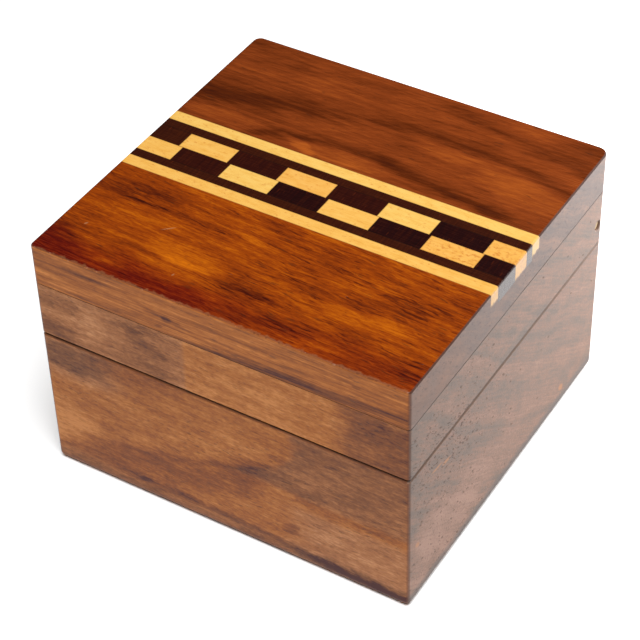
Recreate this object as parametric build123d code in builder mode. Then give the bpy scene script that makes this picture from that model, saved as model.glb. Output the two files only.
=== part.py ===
from build123d import *
import os

# A small keepsake box milled from one block of rosewood, with a pin-hinged lid.
# The base is a pocketed block whose back wall stands up between the sides of the lid.
# The lid is a U-shaped frame with a thick board glued on top.
# A band of light and dark woods is let into a groove that runs the length of the board.
# Frame: +X along the grain, +Y towards the hinge, +Z up, origin under the middle of the base.

# Driving dimensions, mm
box_width = 88.0
box_depth = 86.2
box_height = 60.0
seam_height = 36.5
glue_height = 50.2
seam_gap = 0.3
wall = 6.5
floor_thickness = 6.0
pocket_corner = 6.0

# Rounding and easing of the edges
corner_front_left = 1.2
corner_front_right = 0.8
corner_back_right = 2.4
corner_back_left = 1.8
foot_round = 1.7
top_round = 0.4
rim_ease = 0.35
inner_ease = 0.5
board_ease = 0.2

# Pin hinge
pin_radius = 1.1
pin_from_back = 3.5
pin_above_seam = 5.4
pin_running_gap = 0.05
pin_recess = 0.4
pin_dome = 0.25
pin_engagement = 9.5
bore_depth = 10.0
mouth_flare = 0.3
tenon_gap = 0.3
tenon_round = 3.0
lid_heel_round = 2.5

# Inlay band
band_depth = 4.3
line_depth = 3.5
band_shift = -0.5
light_line_width = 3.15
dark_strip_width = 2.4
check_row_width = 4.95
row_1_first_check = 7.75
row_2_first_check = 8.85
row_1_pitch = 12.15
row_2_pitch = 12.05
columns = 8

# Heights and positions that follow from them
half_width = box_width / 2
half_depth = box_depth / 2
inner_half_width = half_width - wall
inner_half_depth = half_depth - wall
tenon_half_width = inner_half_width - tenon_gap
rim_height = seam_height - seam_gap / 2
lid_bottom_height = seam_height + seam_gap / 2
tenon_top_height = glue_height - tenon_gap
pin_y = half_depth - pin_from_back
pin_z = seam_height + pin_above_seam
bore_radius = pin_radius + pin_running_gap
band_width = 2 * (light_line_width + dark_strip_width + check_row_width)
band_front_y = band_shift - band_width / 2
band_back_y = band_shift + band_width / 2

os.makedirs("parts", exist_ok=True)


def save(part, name):
    part.label = name
    export_step(part, f"parts/{name}.step")


def outer_edges(face):
    """The edges of a horizontal face's outer boundary."""
    return face.outer_wire().edges()


# Outline of the box seen from above, with each corner worn to its own radius
with BuildSketch(Plane.XY) as outline:
    with BuildLine():
        FilletPolyline(
            (-half_width, -half_depth),
            (half_width, -half_depth),
            (half_width, half_depth),
            (-half_width, half_depth),
            radius=[corner_front_left, corner_front_right, corner_back_right, corner_back_left],
            close=True,
        )
    make_face()

# ---- Base: one block with a routed pocket and a tall back wall ----
with BuildPart() as base_block:
    with BuildSketch(Plane.XY):
        add(outline.sketch)
    extrude(amount=rim_height)
    chamfer(outer_edges(base_block.faces().sort_by(Axis.Z)[-1]), rim_ease)
    fillet(outer_edges(base_block.faces().sort_by(Axis.Z)[0]), foot_round)

    # Pocket, routed down from the rim
    with BuildSketch(Plane.XY.offset(floor_thickness)):
        RectangleRounded(2 * inner_half_width, 2 * inner_half_depth, pocket_corner)
    extrude(amount=rim_height - floor_thickness, mode=Mode.SUBTRACT)
    rim_face = base_block.faces().sort_by(Axis.Z)[-1]
    chamfer(rim_face.inner_wires()[0].edges(), inner_ease)

    # Tall back wall, rounded at the top so that the lid's board can swing over it
    tenon_foot_height = rim_height - 2 * pocket_corner
    with BuildSketch(Plane.YZ.offset(-tenon_half_width)):
        with BuildLine():
            FilletPolyline(
                (inner_half_depth, tenon_foot_height),
                (half_depth, tenon_foot_height),
                (half_depth, tenon_top_height),
                (inner_half_depth, tenon_top_height),
                radius=[0, 0, tenon_round, inner_ease],
                close=True,
            )
        make_face()
    extrude(amount=2 * tenon_half_width)

    # Blind bores for the two hinge pins
    for side in (-1, 1):
        with BuildSketch(Plane.YZ.offset(side * tenon_half_width)):
            with Locations((pin_y, pin_z)):
                Circle(bore_radius)
        extrude(amount=-side * bore_depth, mode=Mode.SUBTRACT)
save(base_block.part, "base_block")

# ---- Lid frame: a front wall and two sides, open at the back ----
with BuildPart() as lid_frame:
    with BuildSketch(Plane.XY.offset(lid_bottom_height)):
        add(outline.sketch)
    extrude(amount=glue_height - lid_bottom_height)
    chamfer(outer_edges(lid_frame.faces().sort_by(Axis.Z)[0]), rim_ease)

    # Hollow between the sides, with rounded corners behind the front wall
    with BuildSketch(Plane.XY.offset(lid_bottom_height)):
        with BuildLine():
            FilletPolyline(
                (-inner_half_width, -inner_half_depth),
                (inner_half_width, -inner_half_depth),
                (inner_half_width, box_depth),
                (-inner_half_width, box_depth),
                radius=[pocket_corner, pocket_corner, 0, 0],
                close=True,
            )
        make_face()
    extrude(amount=glue_height - lid_bottom_height, mode=Mode.SUBTRACT)

    # Heels: the lower back corners are rounded so that they clear the rim as the lid turns
    with BuildSketch(Plane.YZ.offset(-half_width)):
        with BuildLine():
            FilletPolyline(
                (-box_depth, glue_height),
                (half_depth, glue_height),
                (half_depth, lid_bottom_height),
                (-box_depth, lid_bottom_height),
                radius=[0, 0, lid_heel_round, 0],
                close=True,
            )
        make_face()
    extrude(amount=box_width, mode=Mode.INTERSECT)

    # Pin holes right through the sides, flared where they meet the outside
    for side in (-1, 1):
        with BuildSketch(Plane.YZ.offset(side * half_width)):
            with Locations((pin_y, pin_z)):
                Circle(pin_radius)
        extrude(amount=-side * (wall + pocket_corner), mode=Mode.SUBTRACT)
    mouths = lid_frame.edges().filter_by(GeomType.CIRCLE).filter_by(
        lambda edge: abs(edge.radius - pin_radius) < 0.01
        and abs(abs(edge.center().X) - half_width) < 0.01
    )
    chamfer(mouths, mouth_flare)
save(lid_frame.part, "lid_frame")

# ---- Lid board, with the groove for the inlay band ----
with BuildPart() as lid_top_board:
    with BuildSketch(Plane.XY.offset(glue_height)):
        add(outline.sketch)
    extrude(amount=box_height - glue_height)
    fillet(outer_edges(lid_top_board.faces().sort_by(Axis.Z)[-1]), top_round)
    chamfer(outer_edges(lid_top_board.faces().sort_by(Axis.Z)[0]), board_ease)

    # A groove for the checks and strips, with a shallower shoulder on each side for the light lines
    with BuildSketch(Plane.YZ.offset(-half_width)):
        with Locations((band_shift, box_height)):
            Rectangle(band_width, 2 * line_depth)
            Rectangle(band_width - 2 * light_line_width, 2 * band_depth)
    extrude(amount=box_width, mode=Mode.SUBTRACT)
save(lid_top_board.part, "lid_top_board")

# ---- Hinge pins: short brass rods, tight in the lid and free in the base ----
pin_outer_x = half_width - pin_recess
pin_inner_x = tenon_half_width - pin_engagement
for side, side_name in ((-1, "left"), (1, "right")):
    with BuildPart() as hinge_pin:
        with BuildSketch(Plane.YZ.offset(side * pin_outer_x)):
            with Locations((pin_y, pin_z)):
                Circle(pin_radius)
        extrude(amount=-side * (pin_outer_x - pin_inner_x))
        pin_ends = hinge_pin.faces().filter_by(Axis.X).edges()
        fillet(pin_ends, pin_dome)
    save(hinge_pin.part, f"hinge_pin_{side_name}")


def inlay_piece(name, x_from, x_to, y_from, y_to, depth=band_depth):
    """A block of the inlay band; ends that reach the box's sides are rounded with the board."""
    with BuildPart() as piece:
        with BuildSketch(Plane.XY.offset(box_height - depth)):
            with Locations(((x_from + x_to) / 2, (y_from + y_to) / 2)):
                Rectangle(x_to - x_from, y_to - y_from)
        extrude(amount=depth)
        top_edges = piece.faces().sort_by(Axis.Z)[-1].edges().filter_by(Axis.Y)
        end_edges = top_edges.filter_by(lambda edge: abs(edge.center().X) > half_width - 0.01)
        if end_edges:
            fillet(end_edges, top_round)
    save(piece.part, name)


# ---- Inlay: lines and strips run the full width on both sides of two rows of checks ----
dark_front_y = band_front_y + light_line_width
row_2_y = dark_front_y + dark_strip_width
row_1_y = row_2_y + check_row_width
dark_back_y = row_1_y + check_row_width
light_back_y = dark_back_y + dark_strip_width
inlay_piece("light_line_front", -half_width, half_width, band_front_y, dark_front_y, line_depth)
inlay_piece("dark_strip_front", -half_width, half_width, dark_front_y, row_2_y)
inlay_piece("dark_strip_back", -half_width, half_width, dark_back_y, light_back_y)
inlay_piece("light_line_back", -half_width, half_width, light_back_y, band_back_y, line_depth)


def check_row(y_from, first_length, pitch, first_shade, shade_numbers):
    """One row of checks in turn dark and light; the first and last are cut short by the sides."""
    shade = first_shade
    x_from = -half_width
    for column in range(columns):
        x_to = -half_width + first_length + column * pitch
        if column == columns - 1:
            x_to = half_width
        shade_numbers[shade] += 1
        name = f"{shade}_check_{shade_numbers[shade]}"
        inlay_piece(name, x_from, x_to, y_from, y_from + check_row_width)
        x_from = x_to
        shade = "light" if shade == "dark" else "dark"


shade_numbers = {"dark": 0, "light": 0}
check_row(row_1_y, row_1_first_check, row_1_pitch, "dark", shade_numbers)
check_row(row_2_y, row_2_first_check, row_2_pitch, "light", shade_numbers)
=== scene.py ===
import math
import random
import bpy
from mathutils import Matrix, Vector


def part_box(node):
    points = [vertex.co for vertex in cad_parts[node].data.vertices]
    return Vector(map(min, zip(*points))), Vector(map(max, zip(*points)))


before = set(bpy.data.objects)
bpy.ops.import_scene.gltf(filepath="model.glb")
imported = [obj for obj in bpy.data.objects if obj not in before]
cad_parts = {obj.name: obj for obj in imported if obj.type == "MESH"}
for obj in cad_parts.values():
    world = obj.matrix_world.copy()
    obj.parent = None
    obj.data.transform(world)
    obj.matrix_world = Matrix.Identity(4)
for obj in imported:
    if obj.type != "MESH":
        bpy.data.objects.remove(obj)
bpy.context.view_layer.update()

from types import SimpleNamespace

import bpy
from mathutils import Matrix, Vector

# The looks of a small rosewood box with an inlaid lid. It stands with its grain along X, its front
# towards -Y and its hinge at +Y. The scene is in metres; the materials work in millimetres.
MM = 0.001


def in_mm(corners):
    """The two corners of a CAD part's box, in millimetres."""
    return [[value / MM for value in corner] for corner in corners]


# Places on the box that the materials follow
frame_low, frame_high = in_mm(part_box("lid_frame"))
TOP_HEIGHT = in_mm(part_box("lid_top_board"))[1][2]
pin_low, pin_high = in_mm(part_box("hinge_pin_right"))
SEAM_GAP = 0.3
TALL_WALL_GAP = 0.3
WALL = 6.5
FLOOR_THICKNESS = 6.0
HALF_WIDTH, HALF_DEPTH, GLUE_HEIGHT = frame_high
SEAM_HEIGHT = frame_low[2] - SEAM_GAP / 2
INNER_HALF_WIDTH = HALF_WIDTH - WALL
INNER_HALF_DEPTH = HALF_DEPTH - WALL
TALL_WALL_HALF_WIDTH = INNER_HALF_WIDTH - TALL_WALL_GAP
PIN_Y = (pin_low[1] + pin_high[1]) / 2
PIN_Z = (pin_low[2] + pin_high[2]) / 2

# ---- Camera and light ----
CAMERA_AZIMUTH = math.radians(32.27)
CAMERA_ELEVATION = math.radians(41.40)
CAMERA_ROLL = math.radians(-1.74)
CAMERA_DISTANCE = 0.4673
AIM_RIGHT = -0.0026
AIM_UP = 0.0195
CAMERA_LENS = 116.8
WORLD_STRENGTH = 0.03
KEY_POWER = 15
WINDOW_POWER = 0.6


def place_camera():
    """A long lens from the front right, looking down on the lid."""
    cos_el = math.cos(CAMERA_ELEVATION)
    back = Vector((
        math.sin(CAMERA_AZIMUTH) * cos_el,
        -math.cos(CAMERA_AZIMUTH) * cos_el,
        math.sin(CAMERA_ELEVATION),
    ))
    level_right = Vector((0, 0, 1)).cross(back).normalized()
    level_up = back.cross(level_right)
    right = level_right * math.cos(CAMERA_ROLL) + level_up * math.sin(CAMERA_ROLL)
    up = level_up * math.cos(CAMERA_ROLL) - level_right * math.sin(CAMERA_ROLL)
    target = right * AIM_RIGHT + up * AIM_UP
    data = bpy.data.cameras.new("camera")
    data.lens = CAMERA_LENS
    data.sensor_width = 36
    data.clip_start = 0.01
    camera = bpy.data.objects.new("camera", data)
    camera.matrix_world = Matrix((
        (right.x, up.x, back.x, target.x + back.x * CAMERA_DISTANCE),
        (right.y, up.y, back.y, target.y + back.y * CAMERA_DISTANCE),
        (right.z, up.z, back.z, target.z + back.z * CAMERA_DISTANCE),
        (0, 0, 0, 1),
    ))
    bpy.context.scene.collection.objects.link(camera)
    bpy.context.scene.camera = camera


def add_softbox(name, direction, distance, size, power, aim):
    """A square area light that shines on the point it is aimed at, from the given direction."""
    light = bpy.data.lights.new(name, "AREA")
    light.shape = "SQUARE"
    light.size = size
    light.energy = power
    lamp = bpy.data.objects.new(name, light)
    offset = Vector(direction).normalized()
    lamp.location = offset * distance + Vector(aim)
    lamp.rotation_euler = offset.to_track_quat("Z", "Y").to_euler()
    bpy.context.scene.collection.objects.link(lamp)


def light_the_scene():
    """A large softbox overhead, a small one behind the box's right side, and a faint fill."""
    world = bpy.data.worlds.new("studio")
    world.use_nodes = True
    background = world.node_tree.nodes["Background"]
    background.inputs["Color"].default_value = (1, 1, 1, 1)
    background.inputs["Strength"].default_value = WORLD_STRENGTH
    bpy.context.scene.world = world
    add_softbox("key", (0.20, -0.42, 1.3), 1.0, 0.55, KEY_POWER, aim=(0, 0, 0.03))
    add_softbox("window", (0.3, 0.7, 1.0), 0.12, 0.08, WINDOW_POWER, aim=(0.07, 0.115, 0))
    bpy.context.scene.view_settings.view_transform = "Standard"


# ---- Shorthand for node materials ----
class Graph:
    """A material's node tree, with short calls for the nodes that the woods are made of."""

    def __init__(self, name):
        self.material = bpy.data.materials.new(name)
        self.material.use_nodes = True
        self.tree = self.material.node_tree
        self.tree.nodes.clear()
        coords = self.node("ShaderNodeTexCoord")
        self.place = self.vector("SCALE", coords.outputs["Object"], scale=1 / MM)
        self.x, self.y, self.z = self.split(self.place)
        self.nx, self.ny, self.nz = self.split(coords.outputs["Normal"])

    def node(self, kind, **settings):
        made = self.tree.nodes.new(kind)
        for key, value in settings.items():
            setattr(made, key, value)
        return made

    def feed(self, socket, value):
        if isinstance(value, bpy.types.NodeSocket):
            self.tree.links.new(value, socket)
        elif value is not None:
            socket.default_value = value

    def math(self, operation, a, b=None, c=None):
        made = self.node("ShaderNodeMath", operation=operation)
        for socket, value in zip(made.inputs, (a, b, c)):
            self.feed(socket, value)
        return made.outputs[0]

    def add(self, *terms):
        total = terms[0]
        for term in terms[1:]:
            total = self.math("ADD", total, term)
        return total

    def times(self, *factors):
        total = factors[0]
        for factor in factors[1:]:
            total = self.math("MULTIPLY", total, factor)
        return total

    def minus(self, a, b):
        return self.math("SUBTRACT", a, b)

    def absolute(self, value):
        return self.math("ABSOLUTE", value)

    def least(self, a, b):
        return self.math("MINIMUM", a, b)

    def most(self, a, b):
        return self.math("MAXIMUM", a, b)

    def length(self, a, b):
        return self.math("SQRT", self.add(self.times(a, a), self.times(b, b)))

    def vector(self, operation, a, b=None, scale=None):
        made = self.node("ShaderNodeVectorMath", operation=operation)
        self.feed(made.inputs[0], a)
        self.feed(made.inputs[1], b)
        if operation == "SCALE":
            self.feed(made.inputs["Scale"], scale)
        return made.outputs[0]

    def split(self, vector):
        made = self.node("ShaderNodeSeparateXYZ")
        self.feed(made.inputs[0], vector)
        return made.outputs[0], made.outputs[1], made.outputs[2]

    def join(self, x, y, z):
        made = self.node("ShaderNodeCombineXYZ")
        for socket, value in zip(made.inputs, (x, y, z)):
            self.feed(socket, value)
        return made.outputs[0]

    def stretched(self, x_size, y_size, z_size, offset=(0, 0, 0), place=None):
        """A place in millimetres, counted in cells of the given size."""
        source = self.place if place is None else place
        cells = self.vector("MULTIPLY", source, (1 / x_size, 1 / y_size, 1 / z_size))
        if any(offset):
            cells = self.vector("ADD", cells, offset)
        return cells

    def noise(self, cells, detail=2.0, roughness=0.5):
        made = self.node("ShaderNodeTexNoise", noise_dimensions="3D")
        self.feed(made.inputs["Vector"], cells)
        made.inputs["Scale"].default_value = 1.0
        made.inputs["Detail"].default_value = detail
        made.inputs["Roughness"].default_value = roughness
        return made.outputs[0]

    def noise_line(self, value, detail=2.0, roughness=0.5):
        made = self.node("ShaderNodeTexNoise", noise_dimensions="1D")
        self.feed(made.inputs["W"], value)
        made.inputs["Scale"].default_value = 1.0
        made.inputs["Detail"].default_value = detail
        made.inputs["Roughness"].default_value = roughness
        return made.outputs[0]

    def centred(self, noise, amount):
        """A 0 to 1 noise as a change of tone of about this amount either way."""
        return self.math("MULTIPLY_ADD", noise, amount * 4, -amount * 2)

    def spindles(self, place, length, width, seed, density):
        """Short dark vessels along the first axis of place: 1 inside, 0 outside."""
        made = self.node("ShaderNodeTexVoronoi", feature="F1")
        offset = (seed, seed * 0.7, seed * 0.3)
        self.feed(made.inputs["Vector"], self.stretched(length, width, width, offset, place))
        made.inputs["Scale"].default_value = 1.0
        chosen = self.math("LESS_THAN", self.split(made.outputs["Color"])[0], density)
        return self.times(self.span(made.outputs["Distance"], 0.36, 0.14), chosen)

    def span(self, value, low, high, to_low=0.0, to_high=1.0, smooth=True):
        """value from low..high to to_low..to_high, held at the ends; low may be above high."""
        made = self.node("ShaderNodeMapRange")
        made.interpolation_type = "SMOOTHSTEP" if smooth else "LINEAR"
        made.clamp = True
        self.feed(made.inputs["Value"], value)
        self.feed(made.inputs["From Min"], low)
        self.feed(made.inputs["From Max"], high)
        self.feed(made.inputs["To Min"], to_low)
        self.feed(made.inputs["To Max"], to_high)
        return made.outputs[0]

    def end_face(self):
        """1 on the left and right ends of the box, where the grain is cut across."""
        return self.span(self.absolute(self.nx), 0.5, 0.85)

    def beyond(self, value, outer, inner):
        """1 where value, either side of zero, is farther out than outer, and 0 inside inner."""
        return self.span(self.absolute(value), inner, outer)

    def ramp(self, value, *stops):
        """Colours along a value: each stop is (position, (r, g, b))."""
        made = self.node("ShaderNodeValToRGB")
        elements = made.color_ramp.elements
        while len(elements) < len(stops):
            elements.new(0.5)
        for element, (position, colour) in zip(elements, stops):
            element.position = position
            element.color = (*colour, 1)
        self.feed(made.inputs[0], value)
        return made.outputs[0]

    def mix(self, factor, a, b):
        """Colour a where factor is 0, colour b where it is 1."""
        made = self.node("ShaderNodeMix", data_type="RGBA")
        self.feed(made.inputs[0], factor)
        self.feed(made.inputs[6], a if isinstance(a, bpy.types.NodeSocket) else (*a, 1))
        self.feed(made.inputs[7], b if isinstance(b, bpy.types.NodeSocket) else (*b, 1))
        return made.outputs[2]

    def mix_value(self, factor, a, b):
        """Number a where factor is 0, number b where it is 1."""
        made = self.node("ShaderNodeMix", data_type="FLOAT")
        self.feed(made.inputs[0], factor)
        self.feed(made.inputs[2], a)
        self.feed(made.inputs[3], b)
        return made.outputs[0]

    def bump(self, height, depth, strength):
        made = self.node("ShaderNodeBump")
        made.inputs["Strength"].default_value = strength
        made.inputs["Distance"].default_value = depth
        self.feed(made.inputs["Height"], height)
        return made.outputs[0]

    def finish(self, colour, roughness, normal, **constants):
        shader = self.node("ShaderNodeBsdfPrincipled")
        self.feed(shader.inputs["Base Color"], colour)
        self.feed(shader.inputs["Roughness"], roughness)
        self.feed(shader.inputs["Normal"], normal)
        for key, value in constants.items():
            shader.inputs[key.replace("_", " ")].default_value = value
        output = self.node("ShaderNodeOutputMaterial")
        self.tree.links.new(shader.outputs[0], output.inputs[0])
        return self.material


def parabola(points):
    """Coefficients of the parabola through three (x, v) points: v = (a x + b) x + c."""
    (x0, v0), (x1, v1), (x2, v2) = points
    slope_01 = (v1 - v0) / (x1 - x0)
    slope_12 = (v2 - v1) / (x2 - x1)
    a = (slope_12 - slope_01) / (x2 - x0)
    b = slope_01 - a * (x0 + x1)
    return a, b, v0 - (a * x0 + b) * x0


class Face:
    """Soft marks on one face of the wood, placed in millimetres along and across it."""

    def __init__(self, g, along, across):
        self.g = g
        self.along = along
        self.across = across

    def below(self, points):
        """How far a place lies below the parabola through three points."""
        g = self.g
        a, b, c = parabola(points)
        slope = g.math("MULTIPLY_ADD", self.along, a, b)
        return g.minus(g.math("MULTIPLY_ADD", slope, self.along, c), self.across)

    def streak(self, points, width, start, stop, tone, fade=3.0):
        """A curved line through three points, fading over its width and past its two ends."""
        g = self.g
        line = g.span(g.absolute(self.below(points)), width, 0)
        from_start = g.span(self.along, start - fade, start + fade)
        to_stop = g.span(self.along, stop + fade, stop - fade)
        return g.times(line, from_start, to_stop, tone)

    def blot(self, centre, radii, tone, tilt=0.0):
        """A soft ellipse with the given tone inside, turned by tilt degrees."""
        g = self.g
        cos_t = math.cos(math.radians(tilt))
        sin_t = math.sin(math.radians(tilt))
        da = g.minus(self.along, centre[0])
        db = g.minus(self.across, centre[1])
        u = g.add(g.times(da, cos_t / radii[0]), g.times(db, sin_t / radii[0]))
        v = g.add(g.times(da, -sin_t / radii[1]), g.times(db, cos_t / radii[1]))
        return g.times(g.span(g.add(g.times(u, u), g.times(v, v)), 1.0, 0.1), tone)


# ---- Colours ----
# How bright each side of the box is in this light, and the neutral sheen that lies on it
TOP = (1.36, 0.004)
INLAY = (1.49, 0.006)
FRONT = (0.89, 0.048)

# Linear colours that both rosewoods use
PORE = (0.055, 0.022, 0.012)
CORNER_STAIN = (0.100, 0.026, 0.010)
# Painted shade along the glue line under the board
GLUE_LINE_SHADE = (0.13, 0.09, 0.07)


def srgb(red, green, blue):
    """A display colour, 0 to 255, as the linear values that shaders use."""
    values = (red / 255, green / 255, blue / 255)
    return tuple(v / 12.92 if v <= 0.04045 else ((v + 0.055) / 1.055) ** 2.4 for v in values)


def seen(side, red, green, blue):
    """The wood's own colour where that side looks like the given display colour."""
    light, sheen = side
    return tuple(min(max((v - sheen) / light, 0.0015), 0.95) for v in srgb(red, green, blue))


def ring_places(g, sway):
    """Places along and across the growth rings, which lean back on the ends of the box."""
    lean = math.radians(36)
    along = g.add(g.times(g.y, math.cos(lean)), g.times(g.z, -math.sin(lean)))
    across = g.add(g.times(g.y, math.sin(lean)), g.times(g.z, math.cos(lean)), sway)
    return along, across


def stain_corners(g, colour):
    """The worn upright edges are darker and redder, where the finish has soaked in."""
    diagonal = g.span(g.absolute(g.times(g.nx, g.ny)), 0.2, 0.42)
    outside = g.beyond(g.y, HALF_DEPTH - 1.5, HALF_DEPTH - 1.9)
    return g.mix(g.times(diagonal, outside, 0.5), colour, CORNER_STAIN)


# ---- Rosewood block: base and lid frame ----
def block_noises(g):
    """The noises of the block; they run on from the base into the lid frame."""
    # Growth rings about a pith far behind and above the block, wandering along the grain
    pith_y, pith_z = 100, 165
    from_pith = g.length(g.minus(g.y, pith_y), g.minus(g.z, pith_z))
    n = SimpleNamespace()
    n.radius = g.add(from_pith, g.times(g.x, 0.14))
    n.warp = g.noise(g.stretched(48, 24, 24, (3, 5, 1)), 2, 0.5)
    n.ripple = g.noise(g.stretched(16, 4, 4, (1, 2, 3)), 2, 0.5)
    n.fine = g.noise(g.stretched(2.6, 0.3, 0.3, (2.3, 0, 0)), 4, 0.6)
    n.coarse = g.noise(g.stretched(7, 1.2, 1.2, (0, 2.3, 0)), 3, 0.55)
    n.mottle = g.noise(g.stretched(8, 4, 4, (8, 1, 4)), 3, 0.55)
    n.speck = g.noise(g.stretched(1.1, 0.5, 0.5, (4, 4, 1)), 2, 0.6)
    n.ragged = g.noise(g.stretched(3.5, 1.2, 1.2, (6, 2, 8)), 3, 0.65)
    # Places that wander a little, so that the edges of streaks and blots are uneven
    n.x = g.add(g.x, g.centred(n.mottle, 2.2), g.centred(n.ragged, 0.7))
    n.z = g.add(g.z, g.centred(n.ripple, 0.6), g.centred(n.ragged, 0.45))
    return n


def lid_front_figure(g, n):
    """Tone and greyness of the lid's front: brown-grey, then tan, then a dark corner."""
    front = Face(g, n.x, n.z)
    step_x = g.add(g.x, g.centred(n.ragged, 0.25))
    tone = g.add(
        g.span(step_x, -8.3, -6.9, 0.66, 0.79),
        g.span(n.x, 24, 33, 0, -0.42),
        front.blot((-38, 47), (8, 3), -0.14),
        front.blot((-15, 44), (11, 6), -0.14, tilt=-20),
        front.blot((-18, 45.6), (9, 2), -0.17, tilt=-24),
        front.blot((-13, 48.8), (9, 1.5), -0.14, tilt=-4),
        front.blot((-40, 39.4), (8, 3.2), -0.24),
        front.blot((-18, 38.8), (14, 2.2), -0.18),
        front.blot((-31, 44), (5, 4.6), 0.13),
        front.blot((40, 48), (5, 3), -0.14),
        front.blot((29, 44), (2.4, 3.4), 0.10),
        front.blot((20, 47), (8, 2), -0.05),
    )
    grey = g.add(g.span(step_x, -6.9, -8.3, 0, 0.7), g.span(n.x, 25, 33, 0, 0.4))
    return tone, grey


def base_front_figure(g, n):
    """Tone and greyness of the base's front: tan, with a redder field and a grey one."""
    front = Face(g, n.x, n.z)
    red_top = front.below(((-30, 12.2), (-10, 16.8), (8, 23.2)))
    red_depth = g.times(g.span(red_top, -1.0, 1.0), g.span(red_top, 13, 4))
    red_field = g.times(red_depth, g.span(n.x, 14, 6), g.span(n.x, -46, -28))
    grey_left = Face(g, n.z, n.x).below(((34, 16.6), (28, 15), (22, 6.5)))
    grey_field = g.times(g.span(grey_left, 1.2, -1.8), g.span(n.z, 18.4, 20.8))
    tone = g.add(
        0.67,
        g.times(red_field, -0.27),
        g.times(grey_field, -0.20),
        g.span(n.z, 25, 31, 0, -0.05),
        # Painted shade: darker towards the foot
        g.span(n.z, 4.6, 1.2, 0, -0.30),
        front.blot((-38, 32), (12, 5), -0.32),
        front.blot((10, 23), (10, 5), -0.06),
        front.streak(((-44, 29.6), (-40, 29), (-32, 27.8)), 1.2, -48, -32, -0.20),
        front.blot((-22, 34.5), (16, 4), -0.18),
        front.blot((8, 23.4), (5.5, 1.9), -0.22, tilt=14),
        front.streak(((18, 19.6), (30, 18), (44, 18.5)), 1.9, 17, 48, -0.18),
        front.blot((33, 9.6), (9, 3), 0.14),
        front.blot((16.3, 9.0), (3.6, 2), -0.28, tilt=15),
        front.streak(((-20, 4.8), (10, 3.7), (40, 1.8)), 1.5, -24, 48, -0.34),
        front.streak(((-44, 4.6), (-24, 5.0), (-6, 4.8)), 0.9, -48, -8, -0.16),
        front.blot((34, 2.6), (20, 2.6), -0.24, tilt=-3),
        front.blot((-42, 13), (12, 9), 0.28),
        front.blot((4, 29), (12, 6), 0.08, tilt=-20),
    )
    grey = g.add(
        g.times(grey_field, 0.7),
        g.times(g.span(n.x, 12, 24), g.span(n.z, 17.5, 15), 0.75),
        # Painted shade: greyer towards the foot
        g.span(n.z, 6, 2, 0, 0.7),
        g.times(g.span(n.x, -20, -34, 0, 0.9), g.span(n.z, 24, 29)),
    )
    return tone, grey


def block_side_colour(g, n):
    """Long-grain faces: the figure on the front, the rings' own bands on the others."""
    lid = g.math("GREATER_THAN", g.z, SEAM_HEIGHT)
    front = g.times(g.span(g.ny, -0.45, -0.85), g.span(g.y, 3.1 - HALF_DEPTH, 1.1 - HALF_DEPTH))
    lid_tone, lid_grey = lid_front_figure(g, n)
    base_tone, base_grey = base_front_figure(g, n)
    ring = g.add(n.radius, g.times(n.warp, 20), g.times(n.ripple, 2.2))
    bands = g.add(
        0.56,
        g.centred(g.noise_line(g.times(ring, 1 / 6.5), 1.5, 0.5), 0.20),
        g.centred(g.noise_line(g.times(ring, 1 / 1.5), 2, 0.6), 0.06),
    )
    tone = g.add(
        g.mix_value(front, bands, g.mix_value(lid, base_tone, lid_tone)),
        g.centred(n.mottle, 0.11),
        g.centred(n.coarse, 0.17),
        g.centred(n.fine, 0.15),
        g.centred(n.ragged, 0.11),
        g.centred(n.speck, 0.14),
    )
    tan = g.ramp(
        tone,
        (0.0, seen(FRONT, 86, 54, 38)),
        (0.4, seen(FRONT, 130, 84, 56)),
        (0.7, seen(FRONT, 159, 104, 68)),
        (1.0, seen(FRONT, 186, 128, 84)),
    )
    grey = g.ramp(
        tone,
        (0.0, seen(FRONT, 84, 63, 52)),
        (0.4, seen(FRONT, 129, 92, 71)),
        (0.7, seen(FRONT, 158, 112, 84)),
        (1.0, seen(FRONT, 186, 138, 104)),
    )
    return g.mix(g.times(front, g.mix_value(lid, base_grey, lid_grey)), tan, grey)


def block_end_colour(g, n, ring_place):
    """End grain: pinkish and grey bands along the rings, finer lines, and a few orange chips."""
    end = Face(g, g.y, g.z)
    ring = g.add(n.radius, g.times(n.warp, 9), g.times(n.ripple, 1.0))
    bands = g.centred(g.noise_line(g.times(ring, 1 / 4.2), 2, 0.55), 0.20)
    lines = g.noise(g.stretched(9, 0.55, 4, (2, 6, 1), ring_place), 3, 0.6)
    tone = g.add(
        0.5,
        g.times(bands, g.span(g.y, -30, 40, 1.1, 0.75)),
        g.centred(lines, 0.18),
        g.centred(n.mottle, 0.15),
        g.centred(n.speck, 0.20),
        end.blot((-30, 10), (26, 14), 0.34, tilt=8),
        end.blot((0, 10), (26, 12), 0.12, tilt=8),
        end.blot((4, 37.5), (16, 2.4), -0.22),
        end.blot((-20, 26), (22, 2.6), -0.16, tilt=-30),
        # Painted shade: darker towards the foot
        g.span(g.z, 4.0, 1.6, 0, -0.30),
        g.span(g.y, -36, -43, 0, -0.14),
    )
    colour = g.ramp(
        tone,
        (0.0, (0.098, 0.066, 0.050)),
        (0.35, (0.148, 0.090, 0.062)),
        (0.65, (0.222, 0.110, 0.066)),
        (1.0, (0.315, 0.165, 0.110)),
    )
    chips = g.add(
        end.blot((-28, 29.4), (2.2, 0.6), 0.6, tilt=-8),
        end.blot((-32, 30.8), (2.6, 0.4), 0.6, tilt=-6),
        end.blot((-39.6, 15.8), (1.2, 0.8), 0.6, tilt=-40),
        end.blot((26, 5.4), (1.6, 1.0), 0.6, tilt=-40),
    )
    return g.mix(chips, colour, (0.45, 0.17, 0.045))


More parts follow.
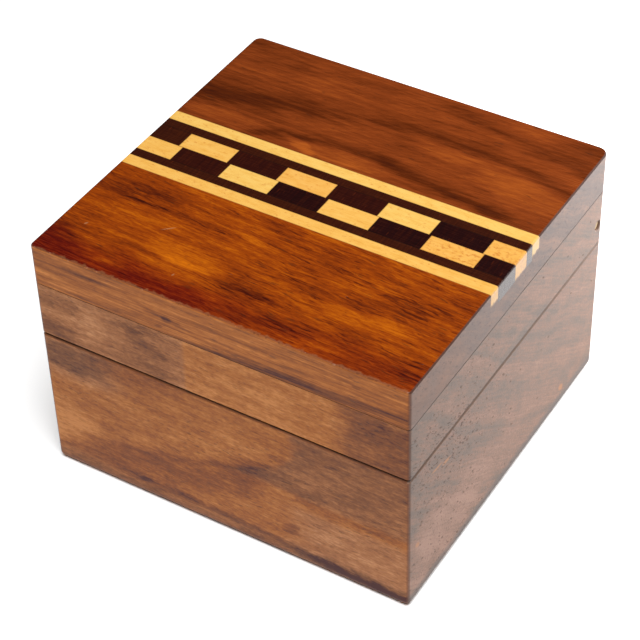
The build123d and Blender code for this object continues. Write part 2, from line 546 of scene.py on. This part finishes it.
def block_holes(g, n, end, along_ring, across_ring):
    """Open vessels: grooves along the grain on the sides, short marks along the rings on the ends."""
    face = Face(g, g.y, g.z)
    patchy = g.noise(g.stretched(9, 5, 5, (5, 1, 2)), 2)
    density = g.times(
        g.span(patchy, 0.36, 0.62, 0.3, 1.0),
        g.add(g.span(g.y, 8, -24, 0.08, 0.55), face.blot((-30, 33), (20, 13), 0.5, tilt=-25)),
        g.span(g.z, 52, 48, 0.2, 1.0),
    )
    uneven_along = g.add(along_ring, g.centred(n.ragged, 0.5))
    uneven_across = g.add(across_ring, g.centred(n.speck, 0.2))
    uneven_place = g.join(uneven_along, uneven_across, g.x)
    large = g.spindles(uneven_place, 1.9, 0.95, 3.0, g.times(density, 0.7))
    ring_place = g.join(along_ring, across_ring, g.x)
    pits = g.noise(g.stretched(1.25, 0.40, 0.6, (5, 1, 3), ring_place), 2, 0.5)
    end_holes = g.most(g.times(large, 0.8), g.times(g.span(pits, 0.58, 0.68), density))
    crowd = g.noise(g.stretched(30, 12, 12, (2, 9, 5)), 1)
    grooves = g.noise(g.stretched(1.7, 0.36, 0.36, (3, 8, 2)), 1, 0.5)
    side_holes = g.times(g.span(grooves, 0.61, 0.71), g.span(crowd, 0.35, 0.65, 0.2, 0.6))
    return g.mix_value(end, side_holes, end_holes)


def paint_seam_shade_and_sheen(g, n, colour):
    """Painted shade and sheen at the seam: painted shade, nearly black, along the front, a grey
    painted sheen on the ends, and painted shade on the base's eased rim.
    """
    wobble = g.add(g.centred(n.ragged, 0.16), g.centred(n.speck, 0.10))
    seam = g.span(g.absolute(g.add(g.z, -SEAM_HEIGHT, wobble)), 0.32, 0.17)
    on_end = g.beyond(g.x, HALF_WIDTH - 0.4, HALF_WIDTH - 0.8)
    # The outermost millimetre, except on the tall back wall, which the seam doesn't cross
    outside = g.span(g.most(g.absolute(g.x), g.absolute(g.y)), HALF_DEPTH - 1.1, HALF_DEPTH - 0.5)
    behind = g.span(g.y, HALF_DEPTH - 1.1, HALF_DEPTH - 0.6)
    between_sides = g.span(g.absolute(g.x), INNER_HALF_WIDTH, TALL_WALL_HALF_WIDTH)
    outside = g.times(outside, g.minus(1, g.times(behind, between_sides)))
    front_seam = g.times(seam, outside, g.minus(1, on_end))
    # Painted shade: along the front the seam's chamfers are painted nearly black, as the gap's shade
    painted_seam_shade = g.mix(g.span(n.mottle, 0.4, 0.6), (0.014, 0.005, 0.003), (0.055, 0.015, 0.005))
    colour = g.mix(g.times(front_seam, g.span(n.ragged, 0.3, 0.6, 0.7, 1.0)), colour, painted_seam_shade)
    # Painted sheen: on the ends the seam is painted a paler grey, for the sheen that the shaded
    # groove misses
    end_seam = g.times(seam, g.beyond(g.x, HALF_WIDTH - 0.5, HALF_WIDTH - 0.8), outside)
    painted_seam_sheen = g.mix(g.span(n.mottle, 0.42, 0.58), (0.10, 0.07, 0.06), (0.24, 0.18, 0.15))
    colour = g.mix(g.times(end_seam, 0.85), colour, painted_seam_sheen)

    # The eased rim of the base faces the light; painted shade darkens it, and it is grey on the ends
    rim_heights = g.times(
        g.span(g.z, SEAM_HEIGHT - 0.6, SEAM_HEIGHT - 0.45),
        g.span(g.z, SEAM_HEIGHT, SEAM_HEIGHT - 0.1),
    )
    rim_slope = g.times(g.span(g.nz, 0.3, 0.5), g.span(g.nz, 0.9, 0.8))
    painted_rim_shade = g.mix(on_end, (0.110, 0.040, 0.018), (0.130, 0.090, 0.072))
    return g.mix(g.times(outside, rim_heights, rim_slope, 0.7), colour, painted_rim_shade)


def shade_frame_top(g, colour):
    """Painted shade on the frame's top, which faces the light where it shows in the glue line: darker
    on the front, grey on the ends.
    """
    ledge = g.times(g.span(g.z, GLUE_HEIGHT - 0.1, GLUE_HEIGHT - 0.04), g.span(g.nz, 0.7, 0.9))
    on_end = g.beyond(g.x, HALF_WIDTH - 0.4, HALF_WIDTH - 0.8)
    painted_ledge_shade = g.mix(on_end, (0.205, 0.094, 0.047), (0.085, 0.060, 0.050))
    return g.mix(g.times(ledge, 0.9), colour, painted_ledge_shade)


def shade_pin_mouths(g, colour):
    """Painted shade: a dark ring where each pin hole meets the outside, for the shade in the hole's
    mouth.
    """
    from_pin = g.length(g.minus(g.y, PIN_Y), g.minus(g.z, PIN_Z))
    mouth_shade = g.times(g.span(from_pin, 1.6, 1.35), g.beyond(g.x, HALF_WIDTH - 0.5, HALF_WIDTH - 0.8))
    return g.mix(g.times(mouth_shade, 0.55), colour, (0.15, 0.110, 0.085))


def make_block_wood():
    g = Graph("rosewood_block")
    n = block_noises(g)
    end = g.end_face()
    along_ring, across_ring = ring_places(g, 0)
    ring_place = g.join(along_ring, across_ring, g.x)
    colour = g.mix(end, block_side_colour(g, n), block_end_colour(g, n, ring_place))
    holes = block_holes(g, n, end, along_ring, across_ring)
    colour = g.mix(g.times(holes, 0.75), colour, PORE)

    # Painted shade darkens the ends just under the board, and their foot is painted darker and
    # greyer, as shade
    shade_under_board = g.times(end, g.span(g.z, GLUE_HEIGHT - 0.7, GLUE_HEIGHT - 0.1), 0.4)
    colour = g.mix(shade_under_board, colour, GLUE_LINE_SHADE)
    foot = g.times(end, g.span(g.z, 4.2, 1.8), 0.6)
    colour = g.mix(foot, colour, (0.085, 0.070, 0.066))
    colour = stain_corners(g, colour)
    colour = paint_seam_shade_and_sheen(g, n, colour)
    colour = shade_frame_top(g, colour)
    colour = shade_pin_mouths(g, colour)

    # Inside faces are bare: paler and duller, with the router's marks across them
    inside = g.times(
        g.span(g.absolute(g.x), INNER_HALF_WIDTH + 0.7, INNER_HALF_WIDTH + 0.1),
        g.span(g.absolute(g.y), INNER_HALF_DEPTH + 0.8, INNER_HALF_DEPTH + 0.2),
        g.span(g.z, FLOOR_THICKNESS - 0.5, FLOOR_THICKNESS - 0.1),
    )
    marks = g.noise(g.join(g.times(g.x, 0.08), g.times(g.y, 0.9), g.times(g.z, 0.08)), 2, 0.6)
    colour = g.mix(g.times(inside, 0.3), colour, (0.42, 0.22, 0.11))
    # Faces that look down are painted 15% darker: painted shade
    underside = g.span(g.nz, -0.7, -0.95)
    colour = g.vector("SCALE", colour, scale=g.minus(1, g.times(underside, 0.15)))

    height = g.add(g.times(n.fine, 0.35), g.times(holes, -1.0), g.times(inside, marks, 0.8))
    normal = g.bump(height, 0.00010, 0.7)
    roughness = g.add(
        g.span(n.fine, 0.2, 0.8, 0.46, 0.58),
        g.times(end, -0.06),
        g.times(holes, 0.15),
        g.times(inside, 0.15),
        g.times(underside, 0.1),
    )
    return g.finish(colour, roughness, normal, Specular_IOR_Level=0.3)


# ---- Rosewood board: the varnished top of the lid ----
def board_noises(g):
    """The noises of the board, and its wandering places."""
    n = SimpleNamespace()
    n.sway = g.noise(g.stretched(22, 10, 10, (4, 2, 7)), 2, 0.5)
    n.frill = g.noise(g.stretched(7, 1.4, 1.4, (1, 8, 3)), 3, 0.6)
    n.fine = g.noise(g.stretched(6, 0.28, 0.28, (6.1, 0, 0)), 4, 0.6)
    n.coarse = g.noise(g.stretched(18, 1.0, 1.0, (0, 6.1, 0)), 3, 0.55)
    n.clouds = g.noise(g.stretched(16, 7, 7, (5, 5, 5)), 2, 0.5)
    n.flecks = g.noise(g.stretched(9, 1.1, 1.1, (3, 7, 9)), 3, 0.6)
    n.specks = g.noise(g.stretched(1.5, 0.38, 0.38, (1, 4, 6)), 2, 0.6)
    n.x = g.add(g.x, g.centred(n.clouds, 3.0), g.centred(n.frill, 1.5))
    n.y = g.add(g.y, g.centred(n.sway, 0.5), g.centred(n.frill, 0.45))
    return n


def board_back_tone(g, n):
    """Dark growth lines behind the inlay band, with an arch of them against it."""
    lines = Face(g, g.x, n.y)
    patches = Face(g, n.x, n.y)
    slanted = g.join(g.x, g.math("MULTIPLY_ADD", g.x, -0.45, g.y), g.z)
    slant = g.noise(g.stretched(6, 0.8, 3, (2, 2, 5), slanted), 2, 0.6)
    return g.add(
        g.span(g.x, -HALF_WIDTH, HALF_WIDTH, 0.445, 0.56, smooth=False),
        lines.streak(((-44, 20.4), (-20, 24.6), (2, 30)), 6.0, -60, 2, -0.12, fade=8),
        lines.streak(((-44, 18.8), (-20, 23.4), (2, 29)), 2.4, -60, 4, -0.07, fade=6),
        lines.streak(((-44, 18), (-30, 20), (-20, 22)), 5.4, -60, -28, -0.12, fade=10),
        lines.streak(((-4, 28.4), (18, 29.4), (44, 25)), 4.0, -4, 60, -0.13, fade=8),
        lines.streak(((-4, 27.6), (18, 28.6), (44, 24.6)), 1.8, 2, 60, -0.08, fade=6),
        lines.streak(((8, 38.8), (24, 37.6), (44, 33)), 4.2, 4, 60, -0.14, fade=8),
        lines.streak(((8, 38), (24, 36.6), (44, 32.4)), 1.7, 8, 60, -0.07, fade=6),
        lines.streak(((-27, 11.4), (-9, 16.6), (10, 15.6)), 2.8, -27, 8, -0.16, fade=4),
        lines.streak(((-27, 11.2), (-9, 16.0), (10, 15.4)), 1.4, -26, 6, -0.09, fade=3),
        lines.streak(((4, 16.2), (20, 13.8), (36, 11.0)), 3.0, 4, 60, -0.16, fade=4),
        lines.streak(((4, 15.9), (20, 13.4), (36, 10.6)), 1.5, 6, 36, -0.08, fade=3),
        patches.blot((32, 11.8), (7, 2.8), -0.14),
        patches.blot((-14, 12.6), (7, 1.7), 0.20, tilt=-22),
        patches.blot((42, 40), (11, 6), -0.14),
        patches.blot((-6, 12.4), (15, 3), 0.12),
        patches.blot((15, 25), (11, 3), 0.12),
        patches.blot((34, 20.5), (14, 5), 0.12),
        patches.blot((-34, 13.5), (14, 3), 0.14),
        patches.blot((-26, 34), (22, 7), 0.06),
        g.centred(n.flecks, 0.08),
        g.centred(slant, 0.06),
        g.centred(n.specks, 0.04),
    )


def dash_crowding(g, n):
    """How densely short dark dashes crowd the wood before the inlay band."""
    lines = Face(g, g.x, n.y)
    patches = Face(g, n.x, n.y)
    return g.add(
        g.span(g.x, -14, 6, 0.05, 0.42),
        lines.streak(((-44, -19), (-34, -17.4), (-25, -15.5)), 3.2, -60, -24, 0.8, fade=5),
        lines.streak(((-36, -20.4), (-22, -20.2), (-8, -20.6)), 1.3, -36, -8, 0.9, fade=4),
        lines.streak(((-4, -18.4), (6, -20.4), (12, -22.5)), 2.2, -4, 14, 0.55, fade=4),
        lines.streak(((12, -18.6), (17, -19), (24, -20)), 1.8, 12, 24, 0.5, fade=4),
        patches.blot((33, -21.6), (8, 2.6), 0.75),
        patches.blot((23, -26), (6, 2), 0.7),
        patches.blot((4, -25.6), (10, 2.8), 0.45),
        patches.blot((-2, -14), (8, 3), 0.5),
        patches.blot((-2, -33.5), (8, 4.6), 0.7),
        patches.blot((15, -38), (10, 3.4), 0.5),
        patches.blot((40, -38.5), (8, 4), 0.6),
        patches.blot((-14, -31), (11, 3.8), -0.4),
        patches.blot((27, -30), (12, 3.6), -0.3),
    )


def board_top_colour(g, n, back_half, crowd, slanted):
    """Brown with dark lines behind the band; before it amber and dashed, redder at the edge."""
    patches = Face(g, n.x, n.y)
    fibre = g.add(g.centred(n.fine, 0.08), g.centred(n.coarse, 0.10), g.centred(n.clouds, 0.09))
    back_colour = g.ramp(
        g.add(board_back_tone(g, n), fibre),
        (0.0, seen(TOP, 56, 24, 12)),
        (0.28, seen(TOP, 92, 40, 18)),
        (0.55, seen(TOP, 135, 62, 27)),
        (1.0, seen(TOP, 190, 98, 36)),
    )
    dashes = g.noise(g.stretched(6, 0.45, 0.45, (3, 7, 9), slanted), 2, 0.55)
    threads = g.noise(g.stretched(9, 0.4, 0.4, (7, 3, 2), slanted), 3, 0.6)
    flames = g.noise(g.stretched(12, 1.5, 1.5, (1, 5, 2), slanted), 3, 0.6)
    dash_start = g.math("MULTIPLY_ADD", crowd, -0.16, 0.62)
    dashed = g.span(dashes, dash_start, g.add(dash_start, 0.20))
    uneven_y = g.add(g.y, g.centred(n.clouds, 2.6), g.centred(n.frill, 0.8))
    near_front = g.times(g.span(uneven_y, -33.5, -39.5), g.span(g.x, 8, -10, 0.5, 1.0))
    tone = g.add(
        g.span(g.x, -44, -10, 0.50, 0.57),
        g.times(dashed, -0.30),
        g.times(crowd, -0.10),
        g.centred(threads, 0.15),
        g.centred(flames, 0.15),
        g.times(near_front, g.span(g.x, -20, 20, -0.24, -0.10)),
        patches.blot((-14, -31), (11, 3.6), 0.16),
        patches.blot((27, -29.5), (13, 4), 0.12),
        patches.blot((-30, -24), (14, 3), 0.08),
        patches.blot((-34, -17.5), (16, 5), -0.10),
        fibre,
        g.centred(n.flecks, 0.05),
        g.centred(n.specks, 0.11),
    )
    amber = g.ramp(
        tone,
        (0.0, seen(TOP, 66, 25, 8)),
        (0.28, seen(TOP, 108, 43, 6)),
        (0.55, seen(TOP, 152, 66, 8)),
        (1.0, seen(TOP, 208, 110, 20)),
    )
    red = g.ramp(
        tone,
        (0.0, seen(TOP, 66, 16, 3)),
        (0.28, seen(TOP, 100, 27, 3)),
        (0.55, seen(TOP, 138, 48, 4)),
        (1.0, seen(TOP, 196, 92, 12)),
    )
    colour = g.mix(back_half, g.mix(near_front, amber, red), back_colour)
    top = Face(g, g.x, g.y)
    scratches = g.add(
        top.blot((-22.3, -24.8), (1.9, 0.22), 0.35, tilt=42),
        top.blot((-38, -31.6), (0.6, 0.3), 0.35, tilt=60),
        top.blot((-13.4, -36.4), (0.5, 0.25), 0.35, tilt=75),
    )
    return g.mix(scratches, colour, (0.42, 0.24, 0.12))


def board_edge_colour(g, n):
    """The long edges: fine level lines, and a dark band that rises to the right."""
    edge = Face(g, g.x, g.z)
    lines = g.noise(g.stretched(24, 0.55, 0.55, (9, 2, 4)), 3, 0.65)
    tone = g.add(
        0.68,
        g.centred(lines, 0.34),
        g.centred(n.coarse, 0.14),
        g.centred(n.frill, 0.14),
        g.centred(n.specks, 0.12),
        edge.blot((-33, 57), (14, 0.8), -0.22),
        edge.streak(((-20, 56.4), (-12, 54.6), (-4, 53.2)), 0.7, -18, -4, -0.22),
        edge.blot((-28, 51.4), (12, 0.8), -0.16, tilt=2),
        edge.blot((-11, 54.4), (1.6, 1.0), -0.34),
        edge.blot((-13, 51.8), (1.4, 0.6), -0.22, tilt=20),
        edge.streak(((0, 50.8), (20, 51.6), (44, 52.7)), 2.2, -4, 60, -0.48, fade=6),
        edge.streak(((20, 54.8), (32, 55.4), (44, 55)), 0.9, 16, 60, -0.14, fade=5),
        edge.blot((32.5, 56.2), (1.4, 0.6), -0.25),
        edge.blot((-30, 53), (14, 1.2), 0.14),
    )
    return g.ramp(
        tone,
        (0.0, seen(FRONT, 84, 60, 51)),
        (0.4, seen(FRONT, 128, 84, 61)),
        (0.7, seen(FRONT, 160, 102, 66)),
        (1.0, seen(FRONT, 190, 126, 78)),
    )


def board_end_colour(g, n, across_ring, ring_place):
    """End grain: greyer than the block's, and warmer towards the front."""
    end = Face(g, g.y, g.z)
    bands = g.noise_line(g.times(across_ring, 1 / 4), 2, 0.6)
    lines = g.noise(g.stretched(9, 0.6, 4, (2, 6, 1), ring_place), 3, 0.6)
    tone = g.add(
        g.span(g.y, -43, 10, 0.42, 0.50),
        g.centred(bands, 0.22),
        g.centred(lines, 0.22),
        g.centred(n.clouds, 0.14),
        g.centred(n.frill, 0.14),
        end.blot((-38, 53.4), (7, 1.8), -0.16, tilt=-14),
        end.blot((-20, 51.8), (12, 1.2), -0.14),
    )
    colour = g.ramp(
        tone,
        (0.0, (0.085, 0.058, 0.050)),
        (0.5, (0.150, 0.085, 0.062)),
        (1.0, (0.25, 0.125, 0.075)),
    )
    warm = g.times(g.span(g.y, -8, -34), g.span(n.clouds, 0.3, 0.6, 0.5, 1.0), 0.5)
    return g.mix(warm, colour, (0.205, 0.078, 0.030))


def board_bare_colour(g, n):
    """The underside, seen inside the lid: bare wood with a plain figure."""
    tone = g.add(
        0.5,
        g.centred(n.flecks, 0.20),
        g.centred(n.coarse, 0.14),
        g.centred(n.clouds, 0.18),
        g.centred(n.fine, 0.10),
    )
    return g.ramp(
        tone,
        (0.0, (0.14, 0.056, 0.022)),
        (0.5, (0.28, 0.126, 0.050)),
        (1.0, (0.40, 0.210, 0.095)),
    )


def paint_board_joint_light_and_shade(g, end, colour):
    """Painted light and shade at the chamfer over the glue line: a grey painted sheen on the ends,
    and paler wood on the front as painted light in the shaded chamfer.
    """
    chamfer = g.span(g.z, GLUE_HEIGHT + 0.3, GLUE_HEIGHT + 0.22)
    on_end = g.beyond(g.x, HALF_WIDTH - 0.3, HALF_WIDTH - 0.5)
    # Painted sheen: on the ends the chamfer is painted grey
    colour = g.mix(g.times(chamfer, on_end, 0.9), colour, (0.13, 0.10, 0.09))
    # Painted shade on the ends just above the joint
    shade_above_joint = g.times(end, g.span(g.z, GLUE_HEIGHT + 0.8, GLUE_HEIGHT + 0.1), 0.4)
    colour = g.mix(shade_above_joint, colour, GLUE_LINE_SHADE)
    # Painted light: the front's chamfer, which faces down into shade, is painted paler
    on_front = g.times(g.span(g.nz, -0.3, -0.6), g.span(g.ny, -0.3, -0.6))
    return g.mix(g.times(chamfer, on_front, 0.8), colour, (0.42, 0.18, 0.07))


def paint_top_edge_light_and_wear(g, colour, side_rim, upper):
    """A painted highlight, a pale band along the upper front edge, with pale chips and dark rubs of
    wear; painted shade, a dark line, along the other rounded upper edges.
    """
    nick = g.noise(g.stretched(1.3, 2, 2, (1, 1, 6)), 3, 0.6)
    uneven_y = g.add(g.y, g.centred(nick, 0.55))
    # Painted highlight: a pale band along the rounded front edge
    painted_edge_highlight = g.span(uneven_y, 0.75 - HALF_DEPTH, 0.25 - HALF_DEPTH)
    colour = g.mix(g.times(painted_edge_highlight, g.span(g.nz, 0.3, 0.6), upper, 0.5), colour, (0.23, 0.095, 0.040))
    rim = g.times(g.span(g.absolute(g.times(g.nz, g.ny)), 0.15, 0.4), upper)
    front_rim = g.times(rim, g.span(g.ny, 0, -0.3))
    chips = g.span(nick, 0.62, 0.70)
    rubs = g.span(nick, 0.46, 0.36)
    colour = g.mix(g.times(front_rim, chips, 0.5), colour, (0.42, 0.22, 0.13))
    colour = g.mix(g.times(front_rim, rubs, 0.5), colour, (0.06, 0.014, 0.004))
    # Painted shade: the other rounded upper edges are painted dark, against the sheen they catch
    painted_dark_rims = g.most(side_rim, g.times(rim, g.span(g.ny, 0, 0.3)))
    return g.mix(g.times(painted_dark_rims, 0.8), colour, (0.035, 0.012, 0.007))


def make_board_wood():
    g = Graph("rosewood_board")
    n = board_noises(g)
    top = g.span(g.nz, 0.4, 0.85)
    end = g.end_face()
    back_half = g.span(g.y, -3, 3)
    crowd = dash_crowding(g, n)
    slanted = g.join(g.x, g.math("MULTIPLY_ADD", g.x, 0.09, n.y), g.z)
    along_ring, across_ring = ring_places(g, g.times(n.sway, 3))
    ring_place = g.join(along_ring, across_ring, g.x)
    top_colour = board_top_colour(g, n, back_half, crowd, slanted)
    colour = g.mix(top, board_edge_colour(g, n), top_colour)
    colour = g.mix(end, colour, board_end_colour(g, n, across_ring, ring_place))
    colour = g.mix(g.span(g.nz, -0.75, -0.95), colour, board_bare_colour(g, n))
    colour = paint_board_joint_light_and_shade(g, end, colour)

    # Open vessels: fine marks along the rings on the ends, spindles along the grain elsewhere
    pits = g.noise(g.stretched(1.25, 0.40, 0.6, (3, 1, 5), ring_place), 2, 0.5)
    colour = g.mix(g.times(g.span(pits, 0.60, 0.70), end, 0.6), colour, PORE)
    long_density = g.mix_value(back_half, g.times(crowd, 0.5), 0.07)
    long_holes = g.spindles(slanted, 4.5, 0.6, 7.0, long_density)
    short_holes = g.spindles(slanted, 1.8, 0.5, 2.0, 0.22)
    holes = g.most(g.times(long_holes, 0.85), g.times(short_holes, 0.45))
    colour = g.mix(g.times(holes, 0.6), colour, (0.045, 0.012, 0.004))

    upper = g.span(g.z, TOP_HEIGHT - 1, TOP_HEIGHT - 0.6)
    side_rim = g.times(g.span(g.absolute(g.times(g.nz, g.nx)), 0.12, 0.35), upper)
    colour = paint_top_edge_light_and_wear(g, colour, side_rim, upper)
    colour = stain_corners(g, colour)

    normal = g.bump(g.add(g.times(n.fine, 0.25), g.times(holes, -0.8)), 0.00004, 0.5)
    roughness = g.add(
        g.span(n.fine, 0.2, 0.8, 0.44, 0.56),
        g.times(top, -0.24),
        g.times(end, -0.04),
        g.times(side_rim, 0.5),
    )
    return g.finish(colour, roughness, normal, Specular_IOR_Level=0.3)


# ---- Inlay woods ----
# Display colours of the few tones each wood comes in
PALE, GOLD, AMBER = (253, 202, 106), (252, 193, 97), (250, 187, 93)
BROWN, UMBER, EBONY = (59, 27, 14), (52, 22, 12), (40, 18, 12)
LIGHT_PIECES = {
    "light_line_back": PALE,
    "light_line_front": GOLD,
    "light_check_1": GOLD,
    "light_check_2": AMBER,
    "light_check_3": PALE,
    "light_check_4": AMBER,
    "light_check_5": GOLD,
    "light_check_6": PALE,
    "light_check_7": GOLD,
    "light_check_8": AMBER,
}
MOTTLED = ("light_check_4", "light_check_8")
DARK_PIECES = {
    "dark_strip_back": BROWN,
    "dark_strip_front": BROWN,
    "dark_check_1": BROWN,
    "dark_check_2": UMBER,
    "dark_check_3": UMBER,
    "dark_check_4": EBONY,
    "dark_check_5": UMBER,
    "dark_check_6": EBONY,
    "dark_check_7": EBONY,
    "dark_check_8": EBONY,
}


def glue_line(g, low, high, width):
    """1 along the outline of an inlaid piece, as its joints are seen from above."""
    inset = g.least(g.minus(g.y, low[1]), g.minus(high[1], g.y))
    for edge, sign in ((low[0], 1), (high[0], -1)):
        is_joint = abs(edge) < HALF_WIDTH - 1
        if is_joint:
            inset = g.least(inset, g.times(g.minus(g.x, edge), sign))
    return g.span(inset, width, 0)


def make_light_wood(name, corners, seed):
    red, green, blue = LIGHT_PIECES[name]
    low, high = in_mm(corners)
    g = Graph(name + "_wood")
    fine = g.noise(g.stretched(4, 0.22, 0.22, (seed, 0, 0)), 3, 0.6)
    mottle = g.noise(g.stretched(3, 1.3, 1.3, (0, seed, 0)), 3, 0.6)
    colour = g.ramp(
        g.add(0.5, g.centred(fine, 0.22), g.centred(mottle, 0.26)),
        (0.0, seen(INLAY, red - 16, green - 24, blue - 26)),
        (0.5, seen(INLAY, red, green, blue)),
        (1.0, seen(INLAY, 254, green + 12, blue + 16)),
    )

    # Orange specks, crowded on the mottled pieces, and darker specks on the ends
    freckle = g.noise(g.stretched(1.0, 0.7, 0.7, (seed, 5, 2)), 4, 0.7)
    if name in MOTTLED:
        specks = g.times(g.span(freckle, 0.50, 0.68), 0.75)
    else:
        specks = g.times(g.span(freckle, 0.56, 0.70), 0.45)
    colour = g.mix(specks, colour, seen(INLAY, 206, 118, 48))
    end = g.end_face()
    end_specks = g.times(end, g.span(freckle, 0.35, 0.65, 0.05, 0.5))
    colour = g.mix(end_specks, colour, (0.50, 0.30, 0.17))

    # Dark glue in the joints, and a ragged line of it under the ends
    ragged = g.noise(g.stretched(0.8, 0.8, 0.8, (seed, 3, 1)), 2)
    uneven_z = g.add(g.z, g.centred(ragged, 0.3))
    foot = g.times(end, g.span(uneven_z, low[2] + 0.7, low[2] + 0.2))
    joint = g.most(g.times(glue_line(g, low, high, 0.22), 0.55), g.times(foot, 0.8))
    colour = g.mix(joint, colour, seen(INLAY, 92, 46, 18))
    normal = g.bump(g.add(g.times(fine, 0.5), g.times(joint, -0.6)), 0.00004, 0.5)
    return g.finish(colour, g.span(fine, 0.2, 0.8, 0.26, 0.38), normal, Specular_IOR_Level=0.3)


def make_dark_wood(name, corners, seed):
    red, green, blue = DARK_PIECES[name]
    low, high = in_mm(corners)
    g = Graph(name + "_wood")
    fine = g.noise(g.stretched(5, 0.25, 0.25, (seed, 0, 0)), 3, 0.6)
    cross = g.noise(g.stretched(0.5, 6, 6, (seed, 2, 0)), 2, 0.5)
    colour = g.ramp(
        g.add(0.5, g.centred(fine, 0.25), g.centred(cross, 0.25)),
        (0.0, seen(TOP, red - 14, green - 8, blue - 5)),
        (0.5, seen(TOP, red, green, blue)),
        (1.0, seen(TOP, red + 20, green + 9, blue + 5)),
    )

    # Short brown streaks lie across the fine grain, and the ends are a dull grey
    streaks = g.spindles(g.join(g.y, g.x, g.z), 2.6, 0.5, seed, 0.10)
    colour = g.mix(g.times(streaks, 0.35), colour, seen(TOP, 104, 44, 22))
    colour = g.mix(g.end_face(), colour, (0.07, 0.05, 0.045))
    joint = glue_line(g, low, high, 0.18)
    colour = g.mix(g.times(joint, 0.6), colour, (0.006, 0.003, 0.002))
    normal = g.bump(g.add(g.times(fine, 0.5), g.times(joint, -0.6)), 0.00004, 0.5)
    return g.finish(colour, g.span(fine, 0.2, 0.8, 0.22, 0.34), normal, Specular_IOR_Level=0.3)


# ---- Hinge pins ----
def make_brass():
    g = Graph("brass_pin")
    scratch = g.noise(g.stretched(0.5, 0.08, 0.3), 3, 0.6)
    colour = g.ramp(scratch, (0.3, srgb(150, 126, 92)), (0.7, srgb(200, 176, 138)))
    normal = g.bump(scratch, 0.00003, 0.5)
    return g.finish(colour, g.span(scratch, 0.3, 0.7, 0.5, 0.7), normal, Metallic=0.6)


# ---- Floor ----
def make_floor():
    mesh = bpy.data.meshes.new("floor")
    half = 3.0
    corners = [(-half, -half, 0), (half, -half, 0), (half, half, 0), (-half, half, 0)]
    mesh.from_pydata(corners, [], [(0, 1, 2, 3)])
    floor = bpy.data.objects.new("floor", mesh)
    g = Graph("floor")
    cloud = g.noise(g.stretched(60, 60, 60), 2)
    tone = g.ramp(cloud, (0.3, (0.89, 0.89, 0.89)), (0.7, (0.91, 0.91, 0.91)))
    floor.data.materials.append(g.finish(tone, 0.8, None))
    bpy.context.scene.collection.objects.link(floor)


# ---- Putting it together ----
def paint(node, material):
    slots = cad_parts[node].data.materials
    slots.clear()
    slots.append(material)


place_camera()
light_the_scene()
make_floor()

block_wood = make_block_wood()
paint("base_block", block_wood)
paint("lid_frame", block_wood)
paint("lid_top_board", make_board_wood())
brass = make_brass()
paint("hinge_pin_left", brass)
paint("hinge_pin_right", brass)

rng = random.Random(11)
for pieces, make in ((LIGHT_PIECES, make_light_wood), (DARK_PIECES, make_dark_wood)):
    for node in pieces:
        paint(node, make(node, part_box(node), rng.uniform(0, 50)))
